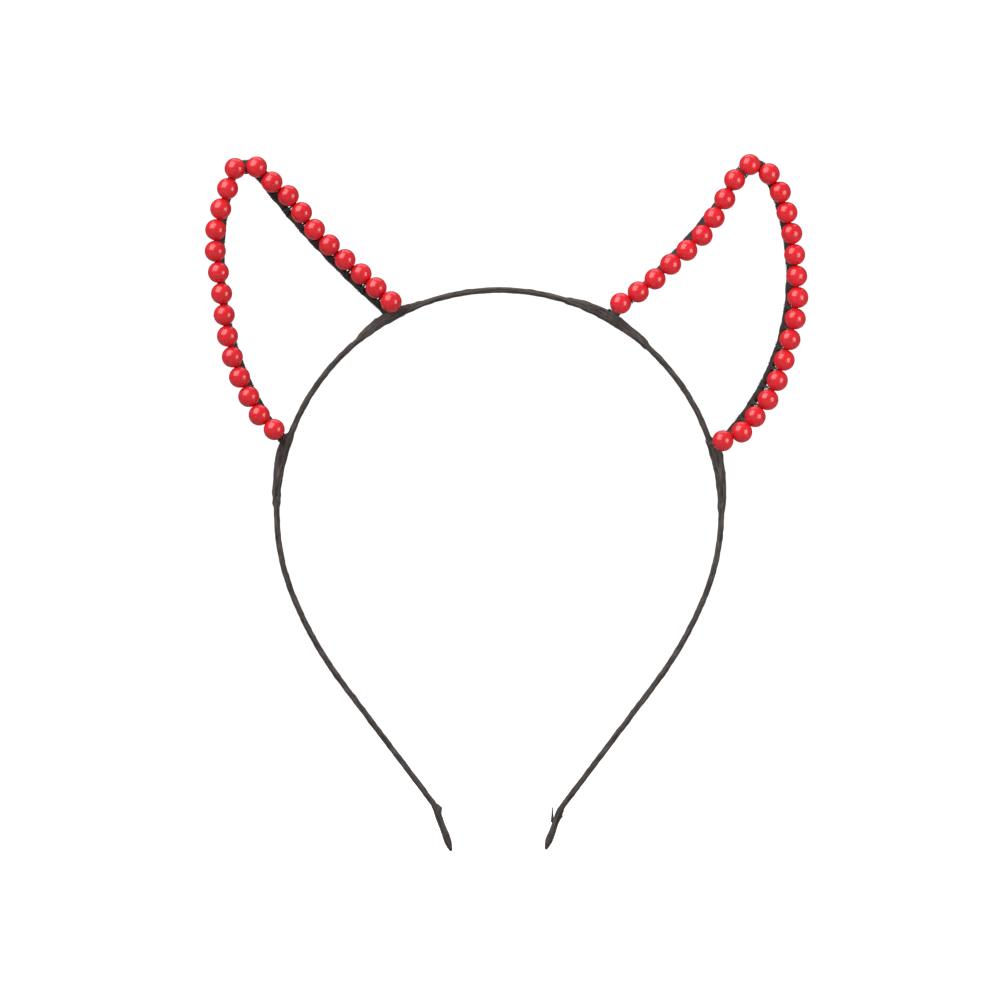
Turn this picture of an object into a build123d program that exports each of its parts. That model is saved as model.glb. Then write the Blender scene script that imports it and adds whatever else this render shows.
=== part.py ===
"""Animal ears headband.

A spring steel strip bent to the shape of a head and wrapped in tape carries two ears. Each ear is one
soft steel wire, taped along its length, whose two feet lie on the strip and are bound to it with tape.
A string of round beads is tied along the front of each ear wire.

The frame: the origin is the centre of the crown arc, +Z up, +X to the right seen from the front, and the
front of the headband faces -Y. Angles round the crown are measured from the top, towards +X.
"""

import os
from dataclasses import dataclass
from math import cos, degrees, pi, radians, sin, sqrt

from build123d import *

# band: the bare strip and the tape on it
crown_radius = 63.0  # of the strip's middle line
strip_thickness = 0.9
strip_width = 4.0
face_tape = 0.35  # tape on the strip's inner and outer faces
edge_tape = 0.5  # tape over the strip's edges

# where the strip's curve changes, as angles from the top and lengths along the strip
crown_joint = 13.0  # the sides flex from here
leg_joint = 95.0  # the legs flex from here
crown_end = 112.0  # the crown arc ends and the slacker arc of the leg begins
leg_radius = 110.0
leg_end = 127.1  # the slacker arc ends and the straight leg begins
elbow_radius = 12.0
tip_lean = 110.0  # direction of the tip, given as the angle of the arc it would be tangent to
joint_gap = 0.4  # left open between two bodies of the band

# tips: tape folded over the strip's end, in the shape of a leaf
tip_fold = 0.6  # the leg's wrap runs on this far past the elbow, up to the folded tape
tip_swell = 2.1  # greatest thickness
tip_swell_at = 0.62  # share of the tip's length where it is thickest
tip_width = 5.4
strip_short = 2.4  # the strip ends this far before the point of the tape
tip_nose = 0.7  # thickness of the tape at the very end

# ear wires
wire_diameter = 1.1
wire_tape = 0.375
apex_radius = 3.0
foot_bend = 1.3  # radius of the bend where a foot turns on to the strip
neck_length = 2.8  # from the strip's tape up to where the ear tilts
tilt_gap = 0.5  # left open between a foot and its ear
binding_tape = 0.35  # tape over a foot, on top of the wire's own
binding_cover = 1.2  # tape past the end of a foot

# beads
bead_diameter = 6.0
bead_hole = 1.8
bead_gap = 0.06  # between two beads
string_steps = 400  # in which a bead's length of the string is walked
seat_clearance = 0.1  # between a bead and the taped wire behind it
groups_per_ear = 12  # neighbouring beads in one node
foot_clearance = 0.5  # between a bead over a foot and the edge of the band behind it
foot_lift_length = 15.0  # the string comes forward over this length of wire to clear the band

# thread
thread_diameter = 0.3
thread_bend = 0.8  # radius of the thread's bends between beads
knot_diameter = 1.3
knot_distance = 0.85  # from the last bead's hole to the knot's centre
tie_thickness = 0.18
tie_clearance = 0.03
tie_halvings = 20  # in which the wire behind a tie is found

half_strip = strip_thickness / 2
half_band = half_strip + face_tape
half_strip_width = strip_width / 2
half_band_width = half_strip_width + edge_tape
wire_radius = wire_diameter / 2
taped_wire_radius = wire_radius + wire_tape
foot_radius = crown_radius + half_strip + taped_wire_radius  # of the middle line of a foot on the strip
bead_radius = bead_diameter / 2
bead_seat = bead_radius + taped_wire_radius + seat_clearance  # from a bead's centre to the wire's
half_gap_angle = degrees(joint_gap / 2 / crown_radius)


@dataclass
class Foot:
    """One foot of an ear wire: root is its angle from the top, away is +1 if it runs on away from the top."""

    root: float
    length: float
    away: int
    collar: float  # binding tape on the root's other side

    def turn(self, length):
        """The angle that a length along the foot takes, measured away from the top."""
        return self.away * degrees(length / foot_radius)

    @property
    def end(self):
        return self.root + self.turn(self.length)

    @property
    def binding(self):
        """The two angles between which the strip and the foot are bound."""
        return sorted((self.root - self.turn(self.collar), self.end + self.turn(binding_cover)))


@dataclass
class Ear:
    """One ear, bent by hand, so the two differ a little.

    side is -1 for the left ear and +1 for the right one. height and shift place the apex over the middle of
    the line between the two roots: shift is along that line, towards the inner root. The bows are the heights
    of the two flanks' arcs over their chords, outwards. first_bead and last_bead are how far along the wire
    from the outer and the inner root the first and the last bead may lie. sway holds pairs: a share of the
    wire's length from the outer root, and how far the bead string lies outside the wire there.
    """

    side: int
    outer: Foot
    inner: Foot
    height: float
    shift: float
    outer_bow: float
    inner_bow: float
    first_bead: float
    last_bead: float
    sway: tuple


left_ear = Ear(
    side=-1,
    outer=Foot(root=71.5, length=18.5, away=1, collar=2.8),
    inner=Foot(root=29.0, length=10.5, away=1, collar=10.0),
    height=61.6,
    shift=31.8,
    outer_bow=11.0,
    inner_bow=-1.9,
    first_bead=3.9,
    last_bead=0.8,
    sway=(
        (0, -0.4), (0.07, 1.5), (0.15, 1.5), (0.32, 0.2), (0.43, 1.7), (0.54, 0.2),
        (0.58, -0.3), (0.62, 1.2), (0.70, 3.1), (0.79, 2.4), (0.93, 3.1), (1, 2.9),
    ),
)
right_ear = Ear(
    side=1,
    outer=Foot(root=73.0, length=18.0, away=1, collar=3.0),
    inner=Foot(root=30.0, length=13.0, away=-1, collar=13.4),
    height=60.3,
    shift=34.3,
    outer_bow=14.8,
    inner_bow=-1.8,
    first_bead=2.2,
    last_bead=3.4,
    sway=(
        (0, -0.3), (0.055, 2.5), (0.13, 3.3), (0.245, 2.4), (0.30, 2.6), (0.40, 1.5), (0.52, 1.4),
        (0.56, 0.5), (0.604, -0.3), (0.648, 0.5), (0.69, -0.6), (0.765, -2.2), (0.89, -0.8), (1, 1.3),
    ),
)
ears = {"left": left_ear, "right": right_ear}


def round_point(radius, angle, centre=Vector(0, 0)):
    """A point at an angle from the top of a circle, seen from the front."""
    return centre + Vector(sin(radians(angle)), cos(radians(angle))) * radius


def further(point, angle, length):
    """The point a length further along the tangent at an angle from the top."""
    return point + Vector(cos(radians(angle)), -sin(radians(angle))) * length


def band_stretch(half_thick, half_wide, start, stop):
    """A stretch of the crown arc between two angles from the top, of a constant section."""
    with BuildPart() as stretch:
        with BuildSketch(Plane.XZ):
            with BuildLine():
                outer = CenterArc((0, 0), crown_radius + half_thick, 90 - start, start - stop)
                inner = CenterArc((0, 0), crown_radius - half_thick, 90 - start, start - stop)
                Line(outer @ 0, inner @ 0)
                Line(outer @ 1, inner @ 1)
            make_face()
        extrude(amount=half_wide, both=True)
    return stretch.part


@dataclass
class Leg:
    """One leg, drawn on the right: the crown arc's end, the slacker arc, the straight, the elbow, the tip."""

    straight_length: float
    tip_length: float

    @property
    def elbow_start(self):
        return further(straight_start, leg_end, self.straight_length)

    @property
    def elbow_centre(self):
        return round_point(elbow_radius, leg_end, self.elbow_start)

    @property
    def tip_start(self):
        return round_point(-elbow_radius, tip_lean, self.elbow_centre)

    def tip_point(self, length, offset=0):
        """A point a length along the tip, at an offset from its middle line."""
        return round_point(offset, tip_lean, further(self.tip_start, tip_lean, length))

    def stretch(self, half_thick, half_wide, tip_part):
        """The leg from its joint to a length past the elbow, of a constant section."""
        start = leg_joint + half_gap_angle
        ends = []
        with BuildPart() as whole:
            with BuildSketch(Plane.XZ):
                with BuildLine():
                    for offset in (half_thick, -half_thick):
                        crown = CenterArc((0, 0), crown_radius + offset, 90 - start, start - crown_end)
                        slack_arc = (90 - crown_end, crown_end - leg_end)
                        slack = CenterArc(leg_centre, leg_radius + offset, *slack_arc)
                        Line(slack @ 1, further(slack @ 1, leg_end, self.straight_length))
                        elbow_arc = (270 - leg_end, leg_end - tip_lean)
                        elbow = CenterArc(self.elbow_centre, elbow_radius - offset, *elbow_arc)
                        tip = Line(elbow @ 1, further(elbow @ 1, tip_lean, tip_part))
                        ends.append((crown @ 0, tip @ 1))
                    Line(ends[0][0], ends[1][0])
                    Line(ends[0][1], ends[1][1])
                make_face()
            extrude(amount=half_wide, both=True)
        return whole.part


leg_centre = round_point(crown_radius - leg_radius, crown_end)
straight_start = round_point(leg_radius, leg_end, leg_centre)
legs = {
    "left": Leg(straight_length=41.2, tip_length=12.0),
    "right": Leg(straight_length=42.5, tip_length=10.4),
}


def tube(path, radius):
    """A round bar along a path."""
    with BuildPart() as bar:
        with BuildSketch(Plane(origin=path @ 0, z_dir=path % 0)):
            Circle(radius)
        sweep(path=path)
    return bar.part


def ear_outline(ear):
    """The middle line of an ear's wire, from its outer root over the apex to its inner root."""

    def outwards(direction):
        return Vector(direction.Y, -direction.X).normalized() * ear.side

    outer_root = round_point(foot_radius, ear.side * ear.outer.root)
    inner_root = round_point(foot_radius, ear.side * ear.inner.root)
    base = inner_root - outer_root
    apex = (outer_root + inner_root) / 2 + base.normalized() * ear.shift + outwards(base) * ear.height
    with BuildLine() as outline:
        for start, stop, bow in ((outer_root, apex, ear.outer_bow), (apex, inner_root, ear.inner_bow)):
            ThreePointArc(start, (start + stop) / 2 + outwards(stop - start) * bow, stop)
        fillet(outline.vertices().sort_by(Axis.Y)[-1], radius=apex_radius)
    wire = outline.wire()
    if (wire @ 0 - outer_root).length > (wire @ 1 - outer_root).length:
        wire = Wire([edge.reversed() for edge in wire.edges()][::-1])
    return wire.moved(Plane.XZ.location)


def between(pairs, share):
    """The value at a share of the way, easing from one pair of (share, value) to the next."""
    for (low, first), (high, last) in zip(pairs, pairs[1:]):
        if share <= high:
            ease = (1 - cos(pi * (share - low) / (high - low))) / 2
            return first + (last - first) * ease
    return pairs[-1][1]


def string_point(ear, wire, share):
    """Where the bead string is beside a share of the wire's length, on the wire's front."""
    tangent = wire % share
    sway = between(ear.sway, share)
    from_root = min(share, 1 - share) * wire.length
    lift = (1 + cos(pi * min(from_root / foot_lift_length, 1))) / 2
    over_band = half_band_width + bead_radius + foot_clearance
    forward = sqrt(bead_seat**2 - sway**2) * (1 - lift) + over_band * lift
    outwards = Vector(tangent.Z, 0, -tangent.X) * ear.side
    return wire @ share + outwards * sway - Vector(0, forward, 0)


def bead_string(ear, wire):
    """The centres of an ear's beads, from the outer root to the inner one, and their shares of the wire."""
    step = bead_diameter / wire.length / string_steps
    share = ear.first_bead / wire.length
    centres, shares = [string_point(ear, wire, share)], [share]
    while share < 1 - ear.last_bead / wire.length:
        share += step
        there = string_point(ear, wire, share)
        if (there - centres[-1]).length >= bead_diameter + bead_gap:
            centres.append(there)
            shares.append(share)
    return centres, shares


def bead_places(centres):
    """Where each bead is, with the way through its hole as Z."""
    before, after = [centres[0], *centres[:-1]], [*centres[1:], centres[-1]]
    return [Plane(origin=here, z_dir=stop - start) for start, here, stop in zip(before, centres, after)]


def bead_group(places):
    """A few neighbouring beads."""
    with BuildPart() as group:
        with Locations(*places):
            Sphere(bead_radius)
        with Locations(*places):
            Cylinder(bead_hole / 2, bead_diameter, mode=Mode.SUBTRACT)
    return group.part


def bead_thread(places):
    """The thread through all the beads of an ear, bent between them and knotted past the last ones."""
    reach = bead_radius + knot_distance
    bends = [
        (place.origin + following.origin + (place.z_dir - following.z_dir) * bead_radius) / 2
        for place, following in zip(places, places[1:])
    ]
    with BuildPart() as thread:
        with BuildLine():
            line = FilletPolyline(
                places[0].origin - places[0].z_dir * reach,
                *bends,
                places[-1].origin + places[-1].z_dir * reach,
                radius=thread_bend,
            )
        first_knot = Plane(origin=line @ 0, z_dir=line % 0)
        last_knot = Plane(origin=line @ 1, z_dir=line % 1)
        with BuildSketch(first_knot):
            Circle(thread_diameter / 2)
        sweep(path=line)
        with Locations(first_knot, last_knot):
            Sphere(knot_diameter / 2)
    return thread.part


def wire_behind(wire, here, way, first, last):
    """The point of an ear's wire in the plane across the bead string at a place between two shares."""
    for _ in range(tie_halvings):
        middle = (first + last) / 2
        if (wire @ middle - here).dot(way) < 0:
            first = middle
        else:
            last = middle
    return wire @ middle, wire % middle


def tie(wire, places, shares):
    """A loop of thread between two beads, round the string and the taped wire behind it."""
    here = (places[0].origin + places[1].origin) / 2
    half = places[1].origin - here
    way = half.normalized()
    behind, wire_way = wire_behind(wire, here, way, *shares)
    groove = half.length - tie_thickness / 2 - tie_clearance
    thread_off = (places[0].origin + places[0].z_dir * bead_radius - here).cross(way).length
    front = max(sqrt(bead_radius**2 - groove**2), thread_off + thread_diameter / 2 + tie_clearance)
    back = taped_wire_radius / wire_way.dot(way) + 2 * tie_clearance
    with BuildPart() as loop:
        for extra, mode in ((tie_thickness, Mode.ADD), (0, Mode.SUBTRACT)):
            with BuildSketch(Plane(origin=here, x_dir=behind - here, z_dir=way)):
                Circle(front + extra)
                with Locations(((behind - here).length, 0)):
                    Circle(back + extra)
                make_hull()
            extrude(amount=tie_thickness / 2, both=True, mode=mode)
    return loop.part


def foot_path(ear, foot, wire, share):
    """The middle line of a foot: down the neck from where the ear tilts, round the bend, along the strip."""
    neck = wire @ share
    root = round_point(foot_radius, ear.side * foot.root)
    with BuildLine() as path:
        Line((neck.X, neck.Z), root)
        CenterArc((0, 0), foot_radius, 90 - ear.side * foot.root, -ear.side * foot.turn(foot.length))
        fillet(path.vertices().sort_by_distance(root)[0], radius=foot_bend)
    line = path.wire()
    if (line @ 0 - Vector(neck.X, neck.Z)).length > (line @ 1 - Vector(neck.X, neck.Z)).length:
        line = Wire([edge.reversed() for edge in line.edges()][::-1])
    return line.moved(Plane.XZ.location)


def binding_hump(ear, foot):
    """Tape over the strip and a foot on it, as far as the foot runs."""
    start = ear.side * (foot.root - foot.turn(taped_wire_radius))
    stop = ear.side * (foot.end + foot.turn(binding_cover / 2))
    first, last = sorted((start, stop))
    side_view = Plane(
        origin=(0, 0, 0),
        x_dir=(sin(radians(first)), 0, cos(radians(first))),
        z_dir=(-cos(radians(first)), 0, sin(radians(first))),
    )
    with BuildPart() as hump:
        with BuildSketch(side_view):
            with Locations((crown_radius, 0)):
                Rectangle(2 * half_band, 2 * half_band_width)
            with Locations((foot_radius, 0)):
                Circle(taped_wire_radius + binding_tape)
            make_hull()
        revolve(axis=Axis.Y, revolution_arc=last - first)
    return hump.part


# the strip: one piece of steel, here in five lengths that the joints flex between
with BuildPart() as strip_crown:
    crown_edge = crown_joint - half_gap_angle
    add(band_stretch(half_strip, half_strip_width, -crown_edge, crown_edge))
strip_crown.part.label = "strip_crown"

with BuildPart() as crown_wrap:
    add(band_stretch(half_band, half_band_width, -crown_edge, crown_edge))
    add(strip_crown.part, mode=Mode.SUBTRACT)
crown_wrap.part.label = "crown_wrap"

pieces = [strip_crown.part, crown_wrap.part]

for side_name, leg in legs.items():
    with BuildPart() as leg_strip:
        add(leg.stretch(half_strip, half_strip_width, leg.tip_length - strip_short))
    with BuildPart() as leg_wrap:
        add(leg.stretch(half_band, half_band_width, tip_fold))
        add(leg_strip.part, mode=Mode.SUBTRACT)
    with BuildPart() as tip_cap:
        with BuildSketch(Plane.XZ):
            with BuildLine():
                swell_at = leg.tip_length * tip_swell_at
                outer = Spline(
                    leg.tip_point(tip_fold, half_band),
                    leg.tip_point(swell_at, tip_swell / 2),
                    leg.tip_point(leg.tip_length, tip_nose / 2),
                )
                inner = Spline(
                    leg.tip_point(tip_fold, -half_band),
                    leg.tip_point(swell_at, -tip_swell / 2),
                    leg.tip_point(leg.tip_length, -tip_nose / 2),
                )
                Line(outer @ 0, inner @ 0)
                Line(outer @ 1, inner @ 1)
            make_face()
        extrude(amount=tip_width / 2, both=True)
        add(leg_strip.part, mode=Mode.SUBTRACT)
    leg_pieces = {
        f"strip_{side_name}_leg": leg_strip.part,
        f"{side_name}_leg_wrap": leg_wrap.part,
        f"{side_name}_tip_cap": tip_cap.part,
    }
    for leg_label, leg_piece in leg_pieces.items():
        with BuildPart() as placed_piece:
            if side_name == "left":
                add(mirror(leg_piece, about=Plane.YZ, mode=Mode.PRIVATE))
            else:
                add(leg_piece)
        placed_piece.part.label = leg_label
        pieces.append(placed_piece.part)

for side_name, ear in ears.items():
    wire = ear_outline(ear)
    neck_share = neck_length / wire.length
    gap_share = tilt_gap / 2 / wire.length

    # the side of the band between the crown joint and the leg joint, with bindings over the feet
    side_start, side_stop = crown_joint + half_gap_angle, leg_joint - half_gap_angle
    with BuildPart() as side_strip:
        add(band_stretch(half_strip, half_strip_width, ear.side * side_start, ear.side * side_stop))
    side_strip.part.label = f"strip_{side_name}_side"
    pieces.append(side_strip.part)

    feet = {"inner": (ear.inner, 1 - neck_share + gap_share), "outer": (ear.outer, neck_share - gap_share)}
    for foot_name, (foot, share) in feet.items():
        path = foot_path(ear, foot, wire, share)
        with BuildPart() as foot_wire:
            add(tube(path, wire_radius))
        foot_wire.part.label = f"{side_name}_{foot_name}_foot_wire"
        with BuildPart() as binding:
            add(band_stretch(half_band, half_band_width, *(ear.side * angle for angle in foot.binding)))
            add(binding_hump(ear, foot))
            add(tube(path, taped_wire_radius))
            add(side_strip.part, mode=Mode.SUBTRACT)
            add(foot_wire.part, mode=Mode.SUBTRACT)
        binding.part.label = f"{side_name}_{foot_name}_binding"
        pieces += [foot_wire.part, binding.part]

    stretches = {
        "upper": (side_start, ear.inner.binding[0]),
        "temple": (ear.inner.binding[1], ear.outer.binding[0]),
        "lower": (ear.outer.binding[1], side_stop),
    }
    for stretch_name, (start, stop) in stretches.items():
        with BuildPart() as side_wrap:
            add(band_stretch(half_band, half_band_width, ear.side * start, ear.side * stop))
            add(side_strip.part, mode=Mode.SUBTRACT)
        side_wrap.part.label = f"{side_name}_{stretch_name}_wrap"
        pieces.append(side_wrap.part)

    # the ear itself: a taped wire, and the beads tied in front of it
    loop = wire.trim(neck_share + gap_share, 1 - neck_share - gap_share)
    with BuildPart() as ear_wire:
        add(tube(loop, wire_radius))
    ear_wire.part.label = f"{side_name}_ear_wire"
    with BuildPart() as ear_wrap:
        add(tube(loop, taped_wire_radius))
        add(ear_wire.part, mode=Mode.SUBTRACT)
    ear_wrap.part.label = f"{side_name}_ear_wrap"

    centres, shares = bead_string(ear, wire)
    places = bead_places(centres)
    bounds = [round(group * len(places) / groups_per_ear) for group in range(groups_per_ear + 1)]
    for group, (first, last) in enumerate(zip(bounds, bounds[1:]), start=1):
        with BuildPart() as beads:
            add(bead_group(places[first:last]))
        beads.part.label = f"{side_name}_beads_{group:02d}"
        pieces.append(beads.part)
    with BuildPart() as thread:
        add(bead_thread(places))
    thread.part.label = f"{side_name}_bead_thread"
    with BuildPart() as ties:
        for place in range(1, len(places)):
            add(tie(wire, places[place - 1 : place + 1], shares[place - 1 : place + 1]))
    ties.part.label = f"{side_name}_ties"
    pieces += [ear_wire.part, ear_wrap.part, thread.part, ties.part]

os.makedirs("parts", exist_ok=True)
for piece in pieces:
    export_step(piece, f"parts/{piece.label}.step")
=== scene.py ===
"""Looks of the animal ears headband: creased black tape, glossy beads and twisted thread.

Lengths are in millimetres until a mesh is made. The floor, the lights, the camera and the bumps of the
materials are in metres. Seen from the front, X is to the right, Z is up and the beads are on the -Y side.
A length along the band is measured from its top, down either side.
"""

from collections import namedtuple
from math import atan2, cos, degrees, pi, radians, sin, sqrt

import bpy
import numpy as np
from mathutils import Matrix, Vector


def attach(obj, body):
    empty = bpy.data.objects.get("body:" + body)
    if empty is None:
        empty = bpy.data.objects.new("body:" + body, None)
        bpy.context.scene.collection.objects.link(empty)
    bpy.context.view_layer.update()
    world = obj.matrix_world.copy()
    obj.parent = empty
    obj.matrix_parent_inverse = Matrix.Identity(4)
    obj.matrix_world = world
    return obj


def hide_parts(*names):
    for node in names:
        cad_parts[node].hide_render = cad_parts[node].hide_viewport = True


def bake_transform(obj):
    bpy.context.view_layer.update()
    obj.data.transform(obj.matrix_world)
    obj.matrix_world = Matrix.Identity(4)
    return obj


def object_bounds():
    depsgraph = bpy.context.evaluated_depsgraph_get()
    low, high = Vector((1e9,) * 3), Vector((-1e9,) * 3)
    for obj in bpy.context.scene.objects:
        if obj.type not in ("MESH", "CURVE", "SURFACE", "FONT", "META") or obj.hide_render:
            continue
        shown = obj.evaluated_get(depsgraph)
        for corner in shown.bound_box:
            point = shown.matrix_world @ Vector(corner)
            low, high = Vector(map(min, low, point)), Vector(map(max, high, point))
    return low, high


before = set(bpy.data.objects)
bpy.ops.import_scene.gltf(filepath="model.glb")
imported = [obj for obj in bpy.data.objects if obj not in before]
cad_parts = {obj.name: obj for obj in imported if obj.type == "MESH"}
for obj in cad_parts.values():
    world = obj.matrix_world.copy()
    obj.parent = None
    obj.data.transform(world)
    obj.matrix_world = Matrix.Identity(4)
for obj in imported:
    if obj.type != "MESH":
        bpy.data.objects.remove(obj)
cad_low, cad_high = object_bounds()
MM = 0.001

# the band's middle line
CROWN_RADIUS = 63.0
CROWN_END = 112.0
LEG_RADIUS = 110.0
LEG_END = 127.1
STRAIGHT = {-1: 41.2, 1: 42.5}  # by side, -1 for the left one
ELBOW_RADIUS = 12.0
TIP_LEAN = 110.0
TIP_LENGTH = {-1: 12.0, 1: 10.4}
TIP_FOLD = 0.6
HALF_THICK = 0.8  # of the taped band, from its middle line outwards
HALF_WIDE = 2.45  # of the taped band, from its middle line to the front

# the wire's middle line where it lies on the band, and the taped wire
FOOT_RADIUS = 64.375
WIRE_RADIUS = 1.0
APEX_RADIUS = 3.0
APEX_POINTS = 26

# root is an angle from the top; the foot runs on from it by length, away from the top or back
Foot = namedtuple("Foot", "root length away collar")
Ear = namedtuple("Ear", "side outer inner height shift outer_bow inner_bow")
EARS = {
    "left": Ear(-1, Foot(71.5, 18.5, 1, 2.8), Foot(29.0, 10.5, 1, 10.0), 61.6, 31.8, 11.0, -1.9),
    "right": Ear(1, Foot(73.0, 18.0, 1, 3.0), Foot(30.0, 13.0, -1, 13.4), 60.3, 34.3, 14.8, -1.8),
}
BINDING_COVER = 1.2  # tape past the end of a foot


# ---------------------------------------------------------------- curves

def circle_point(radius, angle, centre=(0.0, 0.0)):
    """A point at an angle from the top of a circle, in the plane of the band."""
    return np.array([centre[0] + radius * sin(radians(angle)), centre[1] + radius * cos(radians(angle))])


def along(angle):
    """The way along the band where its direction is an arc's at that angle from the top."""
    return np.array([cos(radians(angle)), -sin(radians(angle))])


ARC_1 = CROWN_RADIUS * radians(CROWN_END)
ARC_2 = LEG_RADIUS * radians(LEG_END - CROWN_END)
ARC_3 = ELBOW_RADIUS * radians(LEG_END - TIP_LEAN)
LEG_CENTRE = circle_point(CROWN_RADIUS - LEG_RADIUS, CROWN_END)
STRAIGHT_START = circle_point(LEG_RADIUS, LEG_END, LEG_CENTRE)
TIP_S = {side: ARC_1 + ARC_2 + length + ARC_3 for side, length in STRAIGHT.items()}


def band_point(side, s):
    """The band's middle line at a length from the top: the point and the angle that the band has there."""
    if s <= ARC_1:
        angle = degrees(s / CROWN_RADIUS)
        return circle_point(CROWN_RADIUS, angle), angle
    if s <= ARC_1 + ARC_2:
        angle = CROWN_END + degrees((s - ARC_1) / LEG_RADIUS)
        return circle_point(LEG_RADIUS, angle, LEG_CENTRE), angle
    if s <= TIP_S[side] - ARC_3:
        return STRAIGHT_START + along(LEG_END) * (s - ARC_1 - ARC_2), LEG_END
    elbow_centre = circle_point(ELBOW_RADIUS, LEG_END, STRAIGHT_START + along(LEG_END) * STRAIGHT[side])
    if s <= TIP_S[side]:
        angle = LEG_END - degrees((s - TIP_S[side] + ARC_3) / ELBOW_RADIUS)
        return circle_point(-ELBOW_RADIUS, angle, elbow_centre), angle
    elbow_end = circle_point(-ELBOW_RADIUS, TIP_LEAN, elbow_centre)
    return elbow_end + along(TIP_LEAN) * (s - TIP_S[side]), TIP_LEAN


def band_lines(side, lengths):
    """Middle points, outward normals and front-to-back ways of a stretch of the band."""
    centres, outs = [], []
    for s in lengths:
        point, angle = band_point(side, s)
        centres.append((side * point[0], 0.0, point[1]))
        outs.append((side * sin(radians(angle)), 0.0, cos(radians(angle))))
    wides = np.tile((0.0, -1.0, 0.0), (len(centres), 1))
    return np.array(centres), np.array(outs), wides


def outwards(way, side):
    """The way across a way along an ear's wire, out of the ear."""
    return np.array([way[1], -way[0]]) / np.hypot(*way) * side


def ear_line(ear, step=0.2):
    """The middle line of an ear's wire from its outer root to its inner one, with a rounded apex."""
    outer = circle_point(FOOT_RADIUS, ear.side * ear.outer.root)
    inner = circle_point(FOOT_RADIUS, ear.side * ear.inner.root)
    base = inner - outer
    base_way = base / np.hypot(*base)
    apex = (outer + inner) / 2 + base_way * ear.shift + outwards(base, ear.side) * ear.height
    flanks = []
    for start, stop, bow in ((outer, apex, ear.outer_bow), (apex, inner, ear.inner_bow)):
        chord = np.hypot(*(stop - start))
        radius = (chord * chord / 4 + bow * bow) / (2 * abs(bow))
        hub = (start + stop) / 2 + outwards(stop - start, ear.side) * (bow - np.sign(bow) * radius)
        first = atan2(*(start - hub)[::-1])
        turn = (atan2(*(stop - hub)[::-1]) - first + pi) % (2 * pi) - pi
        count = int(abs(turn) * radius / step)
        angles = first + turn * np.arange(count + 1) / count
        flanks.append(list(hub + radius * np.column_stack((np.cos(angles), np.sin(angles)))))
    way_in = flanks[0][-1] - flanks[0][-2]
    way_out = flanks[1][1] - flanks[1][0]
    turn = np.arccos(np.dot(way_in, way_out) / np.hypot(*way_in) / np.hypot(*way_out))
    cut = max(1, round(APEX_RADIUS * np.tan(turn / 2) / step))
    first, last = flanks[0][-1 - cut], flanks[1][cut]
    handle = 4 / 3 * np.tan(turn / 4) * APEX_RADIUS
    control_1 = first + way_in / np.hypot(*way_in) * handle
    control_2 = last - way_out / np.hypot(*way_out) * handle
    bend = [
        first * (1 - t) ** 3 + control_1 * 3 * t * (1 - t) ** 2
        + control_2 * 3 * t * t * (1 - t) + last * t ** 3
        for t in np.linspace(0, 1, APEX_POINTS)[1:-1]
    ]
    flat = np.array(flanks[0][:-cut] + bend + flanks[1][cut:])
    return resample(np.column_stack((flat[:, 0], np.zeros(len(flat)), flat[:, 1])), step)


def resample(points, step, closed=False):
    """The same line with evenly spaced points."""
    if closed:
        points = np.vstack((points, points[:1]))
    lengths = np.concatenate(([0], np.cumsum(np.linalg.norm(np.diff(points, axis=0), axis=1))))
    count = max(2, int(lengths[-1] / step))
    places = np.linspace(0, lengths[-1], count + 1)
    if closed:
        places = places[:-1]
    return np.column_stack([np.interp(places, lengths, points[:, k]) for k in range(3)])


def line_frames(points, wide=(0.0, -1.0, 0.0), closed=False):
    """Two ways across a line at each of its points, the second one as near to wide as it can be."""
    if closed:
        ways = np.roll(points, -1, 0) - np.roll(points, 1, 0)
    else:
        ways = np.gradient(points, axis=0)
    ways /= np.linalg.norm(ways, axis=1)[:, None]
    wides = np.tile(wide, (len(points), 1)) - ways * (ways @ np.array(wide))[:, None]
    wides /= np.linalg.norm(wides, axis=1)[:, None]
    return np.cross(wides, ways), wides


def lengths_of(points):
    """The length from a line's start to each of its points."""
    return np.concatenate(([0], np.cumsum(np.linalg.norm(np.diff(points, axis=0), axis=1))))


# ---------------------------------------------------------------- relief of wound tape

def waves(seed, turns, spacings, count):
    """Random waves over a wound surface: whole turns round it, and spacings along it."""
    draw = np.random.default_rng(seed)
    return [(draw.integers(turns[0], turns[1] + 1) * draw.choice((-1, 1)),
             2 * pi / draw.uniform(*spacings), draw.uniform(0, 2 * pi), draw.uniform(0.5, 1.0))
            for _ in range(count)]


def wave_sum(table, s, phi):
    """The height of some waves at a length s and an angle phi. Its spread doesn't grow with their number."""
    total = np.zeros(np.broadcast(s, phi).shape)
    for turns, rate, phase, size in table:
        total += size * np.sin(rate * s + turns * phi + phase)
    return total / sqrt(len(table) / 2)


PITCH_DRIFT = 0.35  # how far a turn of tape strays, as a share of its pitch
EDGE_AT = 0.9  # share of a turn at which the next turn's edge begins to rise
CREASE_SHARPNESS = 0.7


def tape_relief(s, phi, seed, pitch, edge, crease, lump):
    """How far wound tape stands off its even surface: overlapping edges, lengthwise creases and lumps."""
    drift = wave_sum(waves(seed, (0, 0), (9, 30), 6), s, phi) * PITCH_DRIFT
    turn = (s / pitch + phi / (2 * pi) + drift) % 1.0
    step = np.where(turn < EDGE_AT, 1 - turn / EDGE_AT, (turn - EDGE_AT) / (1 - EDGE_AT))
    creases = wave_sum(waves(seed + 1, (4, 11), (3, 18), 18), s, phi)
    creases = np.sign(creases) * np.abs(creases) ** CREASE_SHARPNESS
    lumps = wave_sum(waves(seed + 2, (0, 2), (2.2, 11), 16), s, phi)
    return edge * (step - 0.5) + crease * creases + lump * lumps


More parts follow.
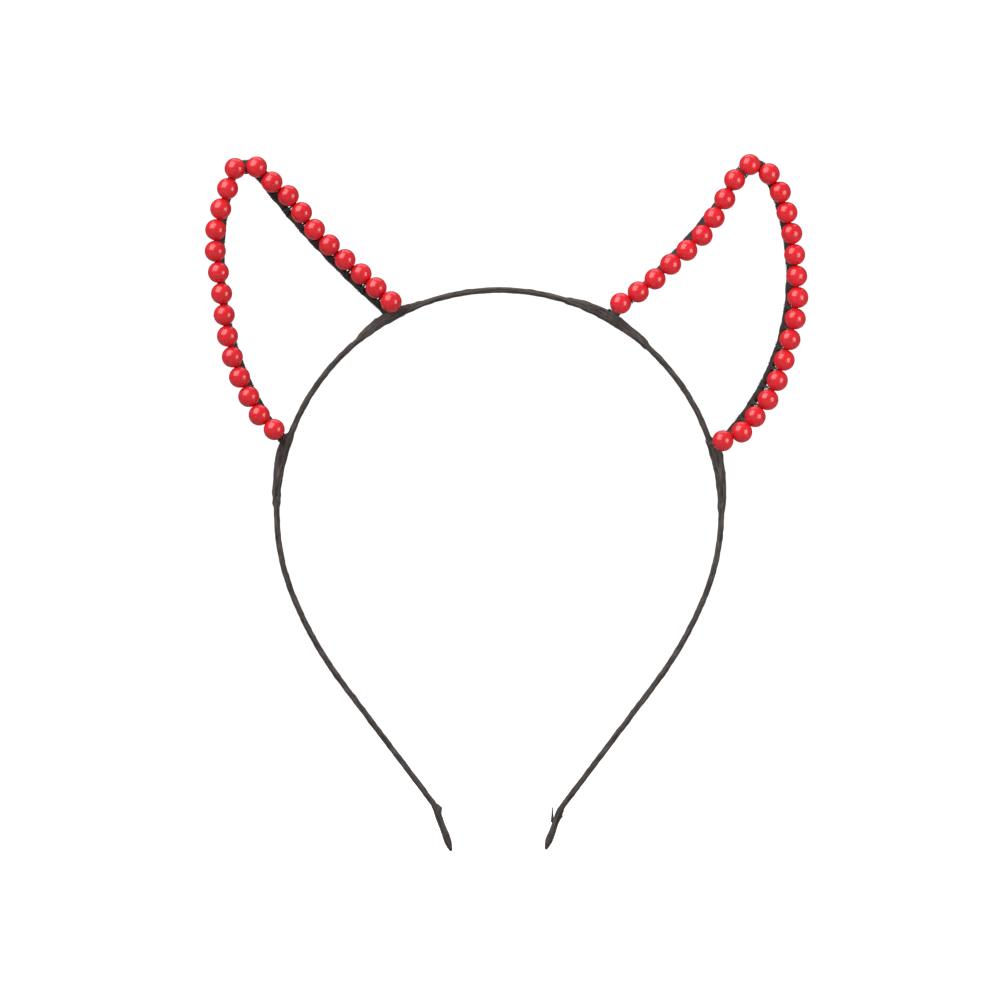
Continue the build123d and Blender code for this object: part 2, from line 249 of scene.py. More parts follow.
def oval(phi, thick_out, thick_in, wide, power_out, power_in=4.0):
    """How far a rounded section reaches at an angle round it, 0 being outwards from the band."""
    reach = np.where(np.cos(phi) > 0, thick_out, thick_in)
    power = np.where(np.cos(phi) > 0, power_out, power_in)
    return (np.abs(np.cos(phi) / reach) ** power + np.abs(np.sin(phi) / wide) ** power) ** (-1 / power)


# ---------------------------------------------------------------- meshes

def make_object(name, points, faces, material, tape_co=None):
    """A smooth mesh object from points in millimetres."""
    mesh = bpy.data.meshes.new(name)
    mesh.from_pydata((np.asarray(points) * MM).tolist(), [], [tuple(int(i) for i in face) for face in faces])
    mesh.validate()
    mesh.shade_smooth()
    if tape_co is not None:
        attribute = mesh.attributes.new("tape_co", "FLOAT_VECTOR", "POINT")
        attribute.data.foreach_set("vector", np.asarray(tape_co, np.float32).ravel())
    mesh.materials.append(material)
    piece = bpy.data.objects.new(name, mesh)
    bpy.context.scene.collection.objects.link(piece)
    return piece


def tube_faces(rings, around, closed=False, first=0):
    """Faces of a tube of rings of points, with its two ends shut unless it is closed on itself."""
    faces = []
    for i in range(rings if closed else rings - 1):
        j = (i + 1) % rings
        for k in range(around):
            n = (k + 1) % around
            corners = (i * around + k, i * around + n, j * around + n, j * around + k)
            faces.append(tuple(first + corner for corner in corners))
    if not closed:
        faces.append(tuple(first + k for k in range(around))[::-1])
        faces.append(tuple(first + (rings - 1) * around + k for k in range(around)))
    return faces


def skin(name, centres, outs, wides, s, radius, material):
    """A tube whose reach at a length s and an angle phi is radius(s, phi)."""
    around = radius.around
    phi = np.linspace(0, 2 * pi, around, endpoint=False)[None, :]
    reach = radius(s[:, None], phi)
    across = np.cos(phi)[..., None] * outs[:, None, :] + np.sin(phi)[..., None] * wides[:, None, :]
    points = centres[:, None, :] + reach[..., None] * across
    tape_co = np.stack(np.broadcast_arrays(s[:, None], reach * np.cos(phi), reach * np.sin(phi)), axis=-1)
    faces = tube_faces(len(s), around)
    if np.dot(np.cross(outs[0], wides[0]), centres[1] - centres[0]) < 0:
        faces = [face[::-1] for face in faces]
    return make_object(name, points.reshape(-1, 3), faces, material, tape_co.reshape(-1, 3))


class Reach:
    """A function of (s, phi), with how many points it wants around."""

    def __init__(self, around, function):
        self.around, self.function = around, function

    def __call__(self, s, phi):
        return self.function(s, phi)


PLY_SHARE = 0.56  # a ply's radius as a share of its thread's


def thread_points(line, radius, plies, turns_per_mm, closed=False, around=7):
    """Points and faces of a twisted thread of a few plies along a line."""
    outs, wides = line_frames(line, wide=(0.05, -1.0, 0.03), closed=closed)
    s = lengths_of(line)
    ply_radius = radius * PLY_SHARE
    points, faces = [], []
    total = s[-1] + (np.linalg.norm(line[0] - line[-1]) if closed else 0)
    turns = max(1, round(total * turns_per_mm))
    for ply in range(plies):
        angle = 2 * pi * (turns * s / total + ply / plies)
        offset = np.cos(angle)[:, None] * outs + np.sin(angle)[:, None] * wides
        middle = line + offset * (radius - ply_radius)
        phi = np.linspace(0, 2 * pi, around, endpoint=False)
        ring = np.cos(phi)[None, :, None] * outs[:, None, :] + np.sin(phi)[None, :, None] * wides[:, None, :]
        first = sum(len(p) for p in points)
        points.append((middle[:, None, :] + ring * ply_radius).reshape(-1, 3))
        faces += tube_faces(len(line), around, closed, first)
    return np.vstack(points), faces


def join_parts(parts):
    """Several (points, faces) as one."""
    points, faces, count = [], [], 0
    for part_points, part_faces in parts:
        points.append(part_points)
        faces += [tuple(i + count for i in face) for face in part_faces]
        count += len(part_points)
    return np.vstack(points), faces


# ---------------------------------------------------------------- materials

def new_material(name):
    """A material with its node tree and its shader."""
    material = bpy.data.materials.new(name)
    material.use_nodes = True
    return material, material.node_tree, material.node_tree.nodes["Principled BSDF"]


def node(tree, kind, **values):
    """A node with its properties and its inputs' values set."""
    made = tree.nodes.new(kind)
    for key, value in values.items():
        if key in made.inputs:
            made.inputs[key].default_value = value
        else:
            setattr(made, key, value)
    return made


def noise_at(tree, vector, scale, detail, stretch=(1, 1, 1), roughness=0.55):
    """Noise over some coordinates, drawn closer together along an axis by its stretch."""
    mapping = node(tree, "ShaderNodeMapping")
    mapping.inputs["Scale"].default_value = stretch
    tree.links.new(vector, mapping.inputs["Vector"])
    noise = node(tree, "ShaderNodeTexNoise", Scale=scale, Detail=detail, Roughness=roughness)
    tree.links.new(mapping.outputs["Vector"], noise.inputs["Vector"])
    return noise.outputs["Fac"]


def ramp(tree, value, stops):
    """Colours by a value. Each stop is a position and a colour."""
    made = node(tree, "ShaderNodeValToRGB")
    made.color_ramp.elements[0].position, made.color_ramp.elements[0].color = stops[0]
    made.color_ramp.elements[1].position, made.color_ramp.elements[1].color = stops[-1]
    for position, colour in stops[1:-1]:
        made.color_ramp.elements.new(position).color = colour
    tree.links.new(value, made.inputs["Fac"])
    return made.outputs["Color"]


def vary_roughness(tree, shader, value, low, high, start=0.0, stop=1.0):
    """Roughness from low to high as a value goes from start to stop."""
    spread = node(tree, "ShaderNodeMapRange")
    for name, number in (("From Min", start), ("From Max", stop), ("To Min", low), ("To Max", high)):
        spread.inputs[name].default_value = number
    tree.links.new(value, spread.inputs["Value"])
    tree.links.new(spread.outputs["Result"], shader.inputs["Roughness"])


def bumps(tree, shader, heights):
    """Bump nodes in a row: (height, strength, distance in metres)."""
    normal = None
    for height, strength, distance in heights:
        bump = node(tree, "ShaderNodeBump", Strength=strength, Distance=distance)
        tree.links.new(height, bump.inputs["Height"])
        if normal:
            tree.links.new(normal, bump.inputs["Normal"])
        normal = bump.outputs["Normal"]
    tree.links.new(normal, shader.inputs["Normal"])


def tape_material(name, light, crease_shade):
    """Matt crepe tape: fine lengthwise creases with painted shade in their hollows and a painted highlight on
    their ridges, grain, and paler and darker worn patches.
    """
    material, tree, shader = new_material(name)
    vector = node(tree, "ShaderNodeAttribute", attribute_name="tape_co").outputs["Vector"]
    creases = noise_at(tree, vector, 1.0, 5, (0.22, 2.1, 2.1), 0.62)
    grain = noise_at(tree, vector, 9.0, 3)
    patches = noise_at(tree, vector, 0.35, 4, (0.6, 1, 1))
    mix = node(tree, "ShaderNodeMix", data_type="RGBA", blend_type="MULTIPLY")
    mix.inputs["Factor"].default_value = 0.75
    worn = [(0.3, (0.55, 0.53, 0.55, 1)), (0.7, (1.25, 1.2, 1.15, 1))]
    # painted shade and highlight: the crease noise, which also drives the bump, gives the crease hollows the
    # dark colour as painted shade and the ridges the light colour as a painted highlight
    tree.links.new(ramp(tree, creases, [(0.34, crease_shade), (0.62, light)]), mix.inputs["A"])
    tree.links.new(ramp(tree, patches, worn), mix.inputs["B"])
    tree.links.new(mix.outputs["Result"], shader.inputs["Base Color"])
    vary_roughness(tree, shader, grain, 0.62, 0.9)
    shader.inputs["Specular IOR Level"].default_value = 0.35
    shader.inputs["Sheen Weight"].default_value = 0.12
    shader.inputs["Sheen Roughness"].default_value = 0.5
    bumps(tree, shader, [(creases, 0.7, 0.00016), (grain, 0.4, 0.00004)])
    return material


def bead_material():
    """Glossy moulded plastic with a faint cloudiness, scuffs and a slightly uneven skin."""
    material, tree, shader = new_material("bead_gloss")
    vector = node(tree, "ShaderNodeTexCoord").outputs["Object"]
    cloud = noise_at(tree, vector, 160, 4)
    scuffs = noise_at(tree, vector, 900, 5, (1, 1, 3.5), 0.7)
    skin_waves = noise_at(tree, vector, 420, 2)
    reds = [(0.3, (0.70, 0.009, 0.020, 1)), (0.55, (0.78, 0.012, 0.024, 1)), (0.75, (0.84, 0.016, 0.030, 1))]
    tree.links.new(ramp(tree, cloud, reds), shader.inputs["Base Color"])
    vary_roughness(tree, shader, scuffs, 0.18, 0.28, start=0.35, stop=0.75)
    shader.inputs["Specular IOR Level"].default_value = 0.6
    shader.inputs["Coat Weight"].default_value = 0.25
    shader.inputs["Coat Roughness"].default_value = 0.16
    bumps(tree, shader, [(skin_waves, 0.03, 0.0002), (scuffs, 0.02, 0.00004)])
    return material


def thread_material():
    """Black cotton thread with fuzz along its fibres."""
    material, tree, shader = new_material("thread_black")
    vector = node(tree, "ShaderNodeTexCoord").outputs["Object"]
    fibres = noise_at(tree, vector, 2600, 4, (1, 1, 1), 0.7)
    blacks = [(0.3, (0.010, 0.009, 0.009, 1)), (0.7, (0.055, 0.050, 0.048, 1))]
    tree.links.new(ramp(tree, fibres, blacks), shader.inputs["Base Color"])
    vary_roughness(tree, shader, fibres, 0.7, 0.95)
    shader.inputs["Sheen Weight"].default_value = 0.2
    bumps(tree, shader, [(fibres, 0.6, 0.00003)])
    return material


def steel_material():
    """Drawn steel under the tape, with lengthwise draw marks and dull patches."""
    material, tree, shader = new_material("drawn_steel")
    vector = node(tree, "ShaderNodeTexCoord").outputs["Object"]
    marks = noise_at(tree, vector, 1800, 5, (0.2, 1, 1), 0.7)
    dull = noise_at(tree, vector, 120, 3)
    greys = [(0.3, (0.42, 0.42, 0.43, 1)), (0.7, (0.66, 0.66, 0.67, 1))]
    tree.links.new(ramp(tree, dull, greys), shader.inputs["Base Color"])
    shader.inputs["Metallic"].default_value = 1.0
    vary_roughness(tree, shader, marks, 0.22, 0.5)
    bumps(tree, shader, [(marks, 0.15, 0.00003)])
    return material


# each tape gets two colours: first its painted highlight on the crease ridges, then its painted shade in the
# crease hollows
BAND_TAPE = tape_material("tape_band", (0.105, 0.092, 0.084, 1), (0.012, 0.010, 0.009, 1))
WIRE_TAPE = tape_material("tape_wire", (0.062, 0.055, 0.050, 1), (0.014, 0.012, 0.012, 1))
BEAD = bead_material()
THREAD = thread_material()
STEEL = steel_material()

for name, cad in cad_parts.items():
    if name.startswith("strip_") or name.endswith("_wire"):
        cad.data.materials.clear()
        cad.data.materials.append(STEEL)


# ---------------------------------------------------------------- the band's tape

BAND_SQUARE = 3.4  # how square the band's section is: 2 is an ellipse
BINDING_END = 1.2  # length over which a binding's tape runs out
COLLAR_THICK, COLLAR_LENGTH = 0.20, 4.5  # a thicker stretch inside the band at a root


def smooth_step(value, low, high):
    """0 up to low, 1 from high on, and a smooth rise between them."""
    t = np.clip((value - low) / (high - low), 0, 1)
    return t * t * (3 - 2 * t)


def foot_span(foot):
    """Lengths along the band, from its top: the foot's root, and the two ends of its binding."""
    end = foot.root + foot.away * degrees(foot.length / FOOT_RADIUS)
    before = foot.root - foot.away * degrees(foot.collar / FOOT_RADIUS)
    after = end + foot.away * degrees(BINDING_COVER / FOOT_RADIUS)
    return [radians(angle) * CROWN_RADIUS for angle in (foot.root, *sorted((before, after)))]


def band_reach(seed):
    """Tape wound round the bare strip."""
    def reach(s, phi):
        relief = tape_relief(s, phi, seed, 6.4, 0.10, 0.035, 0.05)
        return oval(phi, HALF_THICK, HALF_THICK, HALF_WIDE, BAND_SQUARE, BAND_SQUARE) + relief
    return Reach(56, reach)


def binding_reach(seed, root, way, low, high, profile):
    """Tape over a foot.

    profile holds pairs: a length from the root, the way the foot runs, and how far the tape reaches outwards
    from the band's middle line there.
    """
    places, heights = np.array(profile).T

    def reach(s, phi):
        edge = smooth_step(s, low, low + BINDING_END) * (1 - smooth_step(s, high - BINDING_END, high))
        height = np.interp((s - root) * way, places, heights)
        over = np.clip((height - HALF_THICK) / 1.5, 0, 1)
        thick_out = HALF_THICK + 0.05 + (height - HALF_THICK) * edge
        collar = COLLAR_THICK * np.exp(-((s - root) / COLLAR_LENGTH) ** 2)
        thick_in = HALF_THICK + (0.08 + collar) * edge
        relief = tape_relief(s, phi, seed, 5.3, 0.10, 0.055, 0.075)
        round_out = BAND_SQUARE - 1.4 * over
        return oval(phi, thick_out, thick_in, HALF_WIDE + 0.08 * edge, round_out, BAND_SQUARE) + relief
    return Reach(60, reach)


BINDINGS = {
    ("left", "inner"): (
        (-10, 0.85), (-7.5, 1.1), (-4.5, 1.75), (-1, 2.25), (1.5, 2.3),
        (4, 2.1), (6.9, 1.7), (9.5, 1.3), (11.7, 0.88),
    ),
    ("left", "outer"): (
        (-2.8, 1.2), (0, 2.0), (2.5, 2.35), (5, 2.25),
        (9.6, 1.85), (14, 1.5), (17, 1.2), (19.7, 0.88),
    ),
    ("right", "inner"): (
        (-13.4, 0.88), (-11, 1.4), (-6, 1.65), (-2, 2.1), (0, 2.3),
        (2, 2.2), (5.5, 1.85), (9, 1.7), (12, 1.2), (14, 0.88),
    ),
    ("right", "outer"): (
        (-3, 1.8), (0, 2.5), (2.5, 2.75), (5, 2.3),
        (8, 2.0), (12, 1.75), (16, 1.3), (19.2, 0.88),
    ),
}


TIP_CLOSE = 2.1  # length over which a tip's tape closes to a point
# a fold's corner at each elbow: its place, how far it spreads, its height and its angle round the tape
ELBOW_FOLDS = {-1: (-0.4, 1.5, 0.8, pi), 1: (0.1, 0.9, 0.4, 0.0)}


def tip_reach(seed, side):
    """Tape folded over the strip's end.

    It swells to a leaf and closes to a blunt point, with a fold's corner standing out at the elbow.
    """
    stations = np.array([0.0, 0.25, 0.42, 0.62, 0.78, 0.92, 1.0]) * TIP_LENGTH[side]
    thick = np.array([0.95, 0.88, 0.90, 1.04, 0.98, 0.62, 0.30])
    wide = np.array([2.50, 2.55, 2.60, 2.66, 2.40, 1.70, 0.85])

    def reach(s, phi):
        t = s - TIP_S[side]
        half = np.interp(t, stations, thick)
        relief = tape_relief(s, phi, seed, 9.0, 0.08, 0.055, 0.04)
        fade = 1 - 0.6 * smooth_step(t, TIP_LENGTH[side] - TIP_CLOSE, TIP_LENGTH[side])
        section = oval(phi, half, half, np.interp(t, stations, wide), 2.6, 2.6)
        place, spread, height, around = ELBOW_FOLDS[side]
        fold = height * np.clip(1 - abs(t - place) / spread, 0, 1) * np.clip(np.cos(phi - around), 0, 1)
        return section + fold + relief * fade
    return Reach(56, reach)


def band_piece(name, side, start, stop, reach, step=0.22):
    """A stretch of tape round the band, between two lengths down one side."""
    s = np.linspace(start, stop, max(8, int((stop - start) / step)))
    centres, outs, wides = band_lines(side, s)
    return skin(name, centres, outs, wides, s, reach, BAND_TAPE)


FLAP_ROOT = 0.9  # how far the flap's base is from the band's middle line
# half of the flap's thickness and width: at the free end, and how much more at the base
FLAP_THICK = (0.13, 0.42)
FLAP_WIDE = (0.30, 1.35)


def loose_flap(name, side, base, free, stand):
    """A loose corner of tape on the inner side of a tip.

    base and free are the lengths of its two ends from the elbow's end, and stand is how far the free end
    stands off the band's middle line.
    """
    t = np.linspace(0, 1, 28)
    centres, outs, wides = band_lines(side, TIP_S[side] + base + (free - base) * t)
    centres = centres - outs * (FLAP_ROOT + (stand - FLAP_ROOT) * t ** 1.2)[:, None]

    def reach(s, phi):
        ahead = 1 - s / abs(free - base)
        thick = FLAP_THICK[0] + FLAP_THICK[1] * ahead
        wide = FLAP_WIDE[0] + FLAP_WIDE[1] * np.clip(ahead, 0, 1) ** 0.7
        return 1 / np.sqrt((np.cos(phi) / thick) ** 2 + (np.sin(phi) / wide) ** 2)
    return skin(name, centres, outs, wides, t * abs(free - base), Reach(24, reach), BAND_TAPE)


UNDER = 1.1  # a wrap runs on this far under the binding beside it
TIP_UNDER = 1.9  # a tip's tape begins this far before the elbow's end
for name, ear in EARS.items():
    side = ear.side
    seed = 100 if side < 0 else 200
    spans = {"inner": foot_span(ear.inner), "outer": foot_span(ear.outer)}
    _, inner_low, inner_high = spans["inner"]
    _, outer_low, outer_high = spans["outer"]

    top = band_piece(f"{name}_top_tape", side, 0.0, inner_low + UNDER, band_reach(100))
    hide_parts("crown_wrap", f"{name}_upper_wrap")
    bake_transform(top)

    start, stop = inner_high - UNDER, outer_low + UNDER
    temple = band_piece(f"{name}_temple_tape", side, start, stop, band_reach(seed + 11))
    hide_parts(f"{name}_temple_wrap")
    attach(temple, f"{name}_side")

    start, stop = outer_high - UNDER, TIP_S[side] + TIP_FOLD
    leg = band_piece(f"{name}_leg_tape", side, start, stop, band_reach(seed + 21))
    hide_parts(f"{name}_lower_wrap", f"{name}_leg_wrap")
    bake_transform(leg)

    start, stop = TIP_S[side] - TIP_UNDER, TIP_S[side] + TIP_LENGTH[side]
    tip = band_piece(f"{name}_tip_tape", side, start, stop, tip_reach(seed + 31, side), 0.15)
    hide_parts(f"{name}_tip_cap")
    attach(tip, f"{name}_leg")

    if side > 0:
        flap = loose_flap(f"{name}_tip_flap", side, 2.6, -1.3, 2.35)
        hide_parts(f"{name}_tip_cap")
        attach(flap, f"{name}_leg")

    for foot, away, foot_seed in (("inner", ear.inner.away, seed + 41), ("outer", ear.outer.away, seed + 51)):
        root, low, high = spans[foot]
        shape = binding_reach(foot_seed, root, away, low, high, BINDINGS[name, foot])
        binding = band_piece(f"{name}_{foot}_binding_tape", side, low, high, shape, 0.18)
        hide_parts(f"{name}_{foot}_binding", f"{name}_{foot}_foot_wire")
        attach(binding, f"{name}_side")


# ---------------------------------------------------------------- the ears' wires

NECK = 5.4  # length of the two ends of a wire's tape
NECK_BEND = (1.6, 4.2)  # a stretch of a neck, from its root, whose end points are found but not used
NECK_COLLAR, NECK_COLLAR_LENGTH = 0.42, 3.8  # thicker tape by a root
LAP = 0.15  # how far the pieces of a wire's tape run into each other

for name, ear in EARS.items():
    line = ear_line(ear)
    outs, wides = line_frames(line)
    s = lengths_of(line)
    seed = 300 if ear.side < 0 else 400
    whole = s[-1]

    def wire_reach(s, phi, seed=seed, whole=whole):
        from_root = np.minimum(s, whole - s)
        collar = NECK_COLLAR * (1 - smooth_step(from_root, 0.0, NECK_COLLAR_LENGTH))
        return WIRE_RADIUS + collar + tape_relief(s, phi, seed, 4.6, 0.10, 0.045, 0.075)

    spans = {"outer_neck": (0.0, NECK), "flank": (NECK, whole - NECK), "inner_neck": (whole - NECK, whole)}
    for part, (low, high) in spans.items():
        keep = (s >= low - LAP) & (s <= high + LAP)
        shape = Reach(30, wire_reach)
        piece = skin(f"{name}_{part}_tape", line[keep], outs[keep], wides[keep], s[keep], shape, WIRE_TAPE)
        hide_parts(f"{name}_ear_wrap")
        if part == "flank":
            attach(piece, f"{name}_ear")
            continue
        near, far = (place if part == "outer_neck" else whole - place for place in NECK_BEND)
        start, end = (tuple(line[np.argmin(abs(s - place))] * MM) for place in (near, far))
        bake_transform(piece)


# ---------------------------------------------------------------- beads and thread

def loose_parts(cad):
    """The points of each separate solid of a CAD node, in millimetres."""
    mesh = cad.data
    points = np.empty(len(mesh.vertices) * 3)
    mesh.vertices.foreach_get("co", points)
    points = points.reshape(-1, 3) / MM
    keys = [tuple(np.round(point, 4)) for point in points]
    parent = {key: key for key in keys}

    def top_of(key):
        while parent[key] != key:
            parent[key] = parent[parent[key]]
            key = parent[key]
        return key

    for edge in mesh.edges:
        parent[top_of(keys[edge.vertices[0]])] = top_of(keys[edge.vertices[1]])
    groups = {}
    for key, point in zip(keys, points):
        groups.setdefault(top_of(key), []).append(point)
    return [np.array(group) for _, group in sorted(groups.items())]


BEAD_RADIUS = 3.025
BORE_RADIUS = 0.4
BEAD_AROUND = 44


def axes_by(way):
    """A way's own direction and two directions across it."""
    way = way / np.linalg.norm(way)
    across = np.cross(way, (0.0, 1.0, 0.0))
    across /= np.linalg.norm(across)
    return way, across, np.cross(way, across)


def bead_parts(centre, way, number):
    """One bead: a moulded ball, a little out of round, with a bored hole and rounded lips."""
    draw = np.random.default_rng(9000 + number)
    squeeze = draw.uniform(0.988, 1.0)
    lean = draw.uniform(0, 2 * pi)
    lip = np.arcsin((BORE_RADIUS + 0.10) / BEAD_RADIUS)
    bore = [(BORE_RADIUS, -1.6), (BORE_RADIUS, -2.3), (BORE_RADIUS + 0.02, -BEAD_RADIUS * cos(lip) + 0.08)]
    ball = [(BEAD_RADIUS * sin(a), -BEAD_RADIUS * cos(a)) for a in np.linspace(lip, pi - lip, 30)]
    profile = bore + ball + [(r, -z) for r, z in reversed(bore)]
    way, across, third = axes_by(way)
    phi = np.linspace(0, 2 * pi, BEAD_AROUND, endpoint=False)
    ring = np.cos(phi)[:, None] * across + np.sin(phi)[:, None] * third
    flat = 1 - (1 - squeeze) * np.cos(phi - lean) ** 2
    points = [centre + way * z + (r * flat)[:, None] * ring for r, z in profile]
    return np.vstack(points), tube_faces(len(profile), BEAD_AROUND, closed=True)


def convex_outline(points):
    """The convex outline of points in a plane."""
    points = sorted(map(tuple, np.round(points, 5)))
    outline = []
    for run in (points, points[::-1]):
        half = []
        for point in run:
            while len(half) > 1:
                (ax, ay), (bx, by) = half[-2], half[-1]
                if (bx - ax) * (point[1] - ay) - (by - ay) * (point[0] - ax) > 0:
                    break
                half.pop()
            half.append(point)
        outline += half[:-1]
    return np.array(outline)


TIE_SHIFTS = (-1.25, -0.85, -0.42, 0.0, 0.42, 0.85, 1.25)  # along the wire, of a tie's turns at its back
TIE_THREAD = 0.115  # radius
STRING_THREAD = 0.15  # radius
KNOT_THREAD = 0.16  # radius
TIE_INSET = 0.09  # from a CAD loop's outer outline to its middle
STRING_DEPTH = 0.82  # of the string behind the front of a CAD loop


def tie_parts(points, number):
    """A tie: a few turns of twisted thread along the CAD loop's middle, drawn together between the beads and
    spread over the wire."""
    centre = points.mean(0)
    _, _, axes = np.linalg.svd(points - centre)
    outline = convex_outline((points - centre) @ axes[:2].T)
    inward = outline.mean(0) - outline
    outline = outline + inward / np.linalg.norm(inward, axis=1)[:, None] * TIE_INSET
    line = resample(centre + outline @ axes[:2], 0.2, closed=True)
    depth = (line[:, 1] - line[:, 1].min()) / np.ptp(line[:, 1])
    spread = 0.06 + 0.94 * smooth_step(depth, 0.2, 0.75)
    front = line[depth < 0.1]
    string = np.array([front[:, 0].mean(), line[:, 1].min() + STRING_DEPTH, front[:, 2].mean()])
    line = string + (line - string) * (0.30 + 0.70 * smooth_step(depth, 0.16, 0.42))[:, None]
    # this takes out any lean of the loop along the wire
    slant = axes[2] * (1.0, 0.0, 1.0)
    line = line + ((line[:, 1] - string[1]) * axes[2][1] / (slant @ slant))[:, None] * slant
    draw = np.random.default_rng(700 + number)
    parts = []
    for shift in TIE_SHIFTS:
        wander = shift + draw.uniform(-0.1, 0.1)
        slack = 1 + draw.uniform(-0.01, 0.03)
        turn = centre + (line - centre) * slack + (spread * wander)[:, None] * axes[2]
        parts.append(thread_points(turn, TIE_THREAD, 2, 1.1, closed=True, around=6))
    return join_parts(parts)


def knot_parts(centre, way, number):
    """A small hard knot: thread wound in a trefoil, drawn tight."""
    way, across, third = axes_by(way)
    t = np.linspace(0, 2 * pi, 72, endpoint=False) + number
    ring = 0.33 + 0.15 * np.cos(3 * t)
    line = centre + (ring * np.cos(2 * t))[:, None] * across + (ring * np.sin(2 * t))[:, None] * third
    line = line + (0.26 * np.sin(3 * t))[:, None] * way
    return thread_points(line, KNOT_THREAD, 2, 1.0, closed=True)


KNOT_PLACE = 3.835  # from the middle of a string's end bead to its knot
BORE_END = 2.9  # from a bead's middle to where the string leaves its bore

for name, ear in EARS.items():
    groups = sorted(node_name for node_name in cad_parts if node_name.startswith(f"{name}_beads_"))
    found = []
    for group in groups:
        found += [(group, part.min(0) / 2 + part.max(0) / 2) for part in loose_parts(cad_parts[group])]
    line = ear_line(ear)
    found.sort(key=lambda entry: np.argmin(np.linalg.norm((line - entry[1])[:, [0, 2]], axis=1)))
    centres = np.array([centre for _, centre in found])
    ways = np.vstack((centres[1:2] - centres[:1], centres[2:] - centres[:-2], centres[-1:] - centres[-2:-1]))
    ways /= np.linalg.norm(ways, axis=1)[:, None]
    for group in groups:
        members = [i for i, (owner, _) in enumerate(found) if owner == group]
        beads = [bead_parts(centres[i], ways[i], i + 50 * ear.side + 50) for i in members]
        points, faces = join_parts(beads)
        cluster = make_object(group.replace("beads", "bead_cluster"), points, faces, BEAD)
        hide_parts(group)
        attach(cluster, f"{name}_ear")

    knots = [centres[0] - ways[0] * KNOT_PLACE, centres[-1] + ways[-1] * KNOT_PLACE]
    path = [knots[0]]
    for centre, way in zip(centres, ways):
        path += [centre - way * BORE_END, centre + way * BORE_END]
    run = resample(np.array(path + [knots[1]]), 0.4)
    parts = [thread_points(run, STRING_THREAD, 2, 0.9)]
    parts += [knot_parts(knot, ways[-i], 1 + i) for i, knot in enumerate(knots)]
    string = make_object(f"{name}_bead_string", *join_parts(parts), THREAD)
    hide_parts(f"{name}_bead_thread")
    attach(string, f"{name}_ear")

    loops = loose_parts(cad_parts[f"{name}_ties"])
    points, faces = join_parts([tie_parts(loop, i) for i, loop in enumerate(loops)])
    ties = make_object(f"{name}_tie_loops", points, faces, THREAD)
    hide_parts(f"{name}_ties")
    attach(ties, f"{name}_ear")


# ---------------------------------------------------------------- stage, light and camera

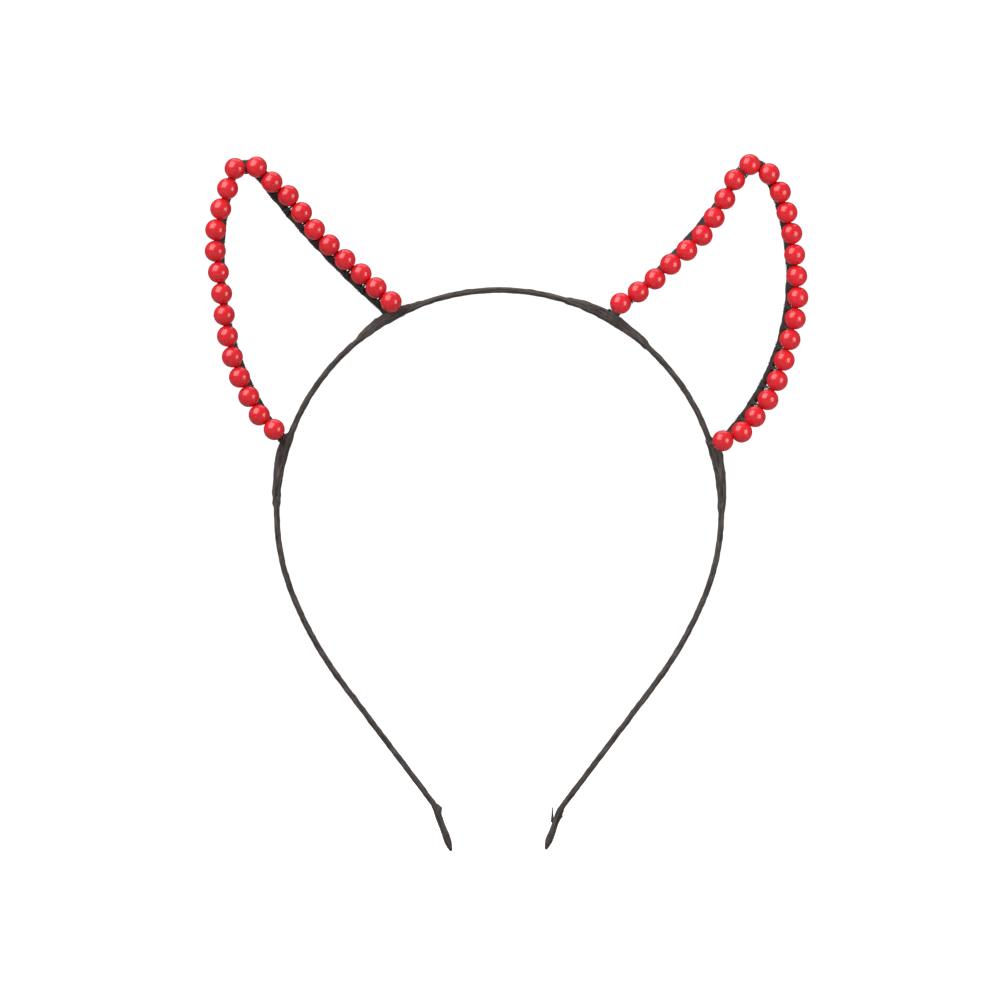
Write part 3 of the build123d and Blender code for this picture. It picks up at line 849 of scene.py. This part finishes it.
def stage_floor():
    """A plain pale sheet under the tips that curves up far behind them, in metres."""
    ahead, behind, half_wide, rise, bend = 4.0, 2.0, 4.0, 4.0, 1.0
    below_tips = 0.0006
    profile = [(-ahead, 0.0), (behind, 0.0)]
    profile += [(behind + bend * sin(a), bend - bend * cos(a)) for a in np.linspace(0, pi / 2, 14)[1:]]
    profile += [(behind + bend, rise)]
    points = [(x, y, z + cad_low.z - below_tips) for y, z in profile for x in (-half_wide, half_wide)]
    faces = [(2 * i, 2 * i + 1, 2 * i + 3, 2 * i + 2) for i in range(len(profile) - 1)]
    material, tree, shader = new_material("pale_floor")
    vector = node(tree, "ShaderNodeTexCoord").outputs["Object"]
    tone = noise_at(tree, vector, 3.0, 3)
    pale = ramp(tree, tone, [(0.3, (0.93, 0.93, 0.93, 1)), (0.7, (0.96, 0.96, 0.96, 1))])
    shader.inputs["Roughness"].default_value = 0.9
    shader.inputs["Specular IOR Level"].default_value = 0.1
    shader.inputs["Emission Color"].default_value = (1, 1, 1, 1)
    seen = node(tree, "ShaderNodeLightPath").outputs["Is Camera Ray"]
    glow = node(tree, "ShaderNodeMath", operation="MULTIPLY")
    glow.inputs[1].default_value = 0.8
    shade = node(tree, "ShaderNodeMix", data_type="RGBA")
    shade.inputs["A"].default_value = (0.34, 0.32, 0.32, 1)
    tree.links.new(seen, shade.inputs["Factor"])
    tree.links.new(pale, shade.inputs["B"])
    tree.links.new(shade.outputs["Result"], shader.inputs["Base Color"])
    tree.links.new(seen, glow.inputs[0])
    tree.links.new(glow.outputs["Value"], shader.inputs["Emission Strength"])
    floor = make_object("floor_sheet", np.array(points) / MM, faces, material)


def area_light(name, place, aim, size, power, colour):
    """A rectangular softbox that points from its place at its aim."""
    data = bpy.data.lights.new(name, "AREA")
    data.shape = "RECTANGLE"
    data.size, data.size_y = size
    data.energy = power
    data.color = colour
    light = bpy.data.objects.new(name, data)
    bpy.context.scene.collection.objects.link(light)
    light.location = place
    way = np.array(aim) - np.array(place)
    light.rotation_euler = Vector(way).to_track_quat("-Z", "Y").to_euler()
    return light


stage_floor()
area_light("key_softbox", (-0.66, -0.66, 0.88), (0, 0, 0.0), (1.15, 1.35), 17.5, (1.0, 0.98, 0.97))
area_light("low_softbox", (0.37, -0.30, 0.03), (0, 0, 0.03), (0.24, 0.30), 1.1, (1.0, 0.93, 0.90))
area_light("top_fill", (0.1, 0.5, 1.6), (0, 0, 0.0), (1.6, 1.2), 7, (1.0, 1.0, 1.0))

world = bpy.data.worlds.new("studio")
world.use_nodes = True
background = world.node_tree.nodes["Background"]
background.inputs["Color"].default_value = (1, 1, 1, 1)
WORLD_LIGHT, WORLD_SEEN = 0.26, 1.0
brightness = node(world.node_tree, "ShaderNodeMapRange")
brightness.inputs["To Min"].default_value = WORLD_LIGHT
brightness.inputs["To Max"].default_value = WORLD_SEEN
seen_first = node(world.node_tree, "ShaderNodeLightPath").outputs["Is Camera Ray"]
world.node_tree.links.new(seen_first, brightness.inputs["Value"])
world.node_tree.links.new(brightness.outputs["Result"], background.inputs["Strength"])
bpy.context.scene.world = world

LENS, SENSOR, FRAME_WIDE = 250.0, 36.0, 0.2835
camera_data = bpy.data.cameras.new("camera")
camera_data.lens = LENS
camera_data.sensor_width = SENSOR
camera_data.clip_start = 0.05
camera_data.clip_end = 50
camera = bpy.data.objects.new("camera", camera_data)
bpy.context.scene.collection.objects.link(camera)
camera.location = (0.00028, -FRAME_WIDE * LENS / SENSOR, 0.0035)
camera.rotation_euler = (pi / 2, 0, 0)
bpy.context.scene.camera = camera
bpy.context.scene.view_settings.view_transform = "Standard"
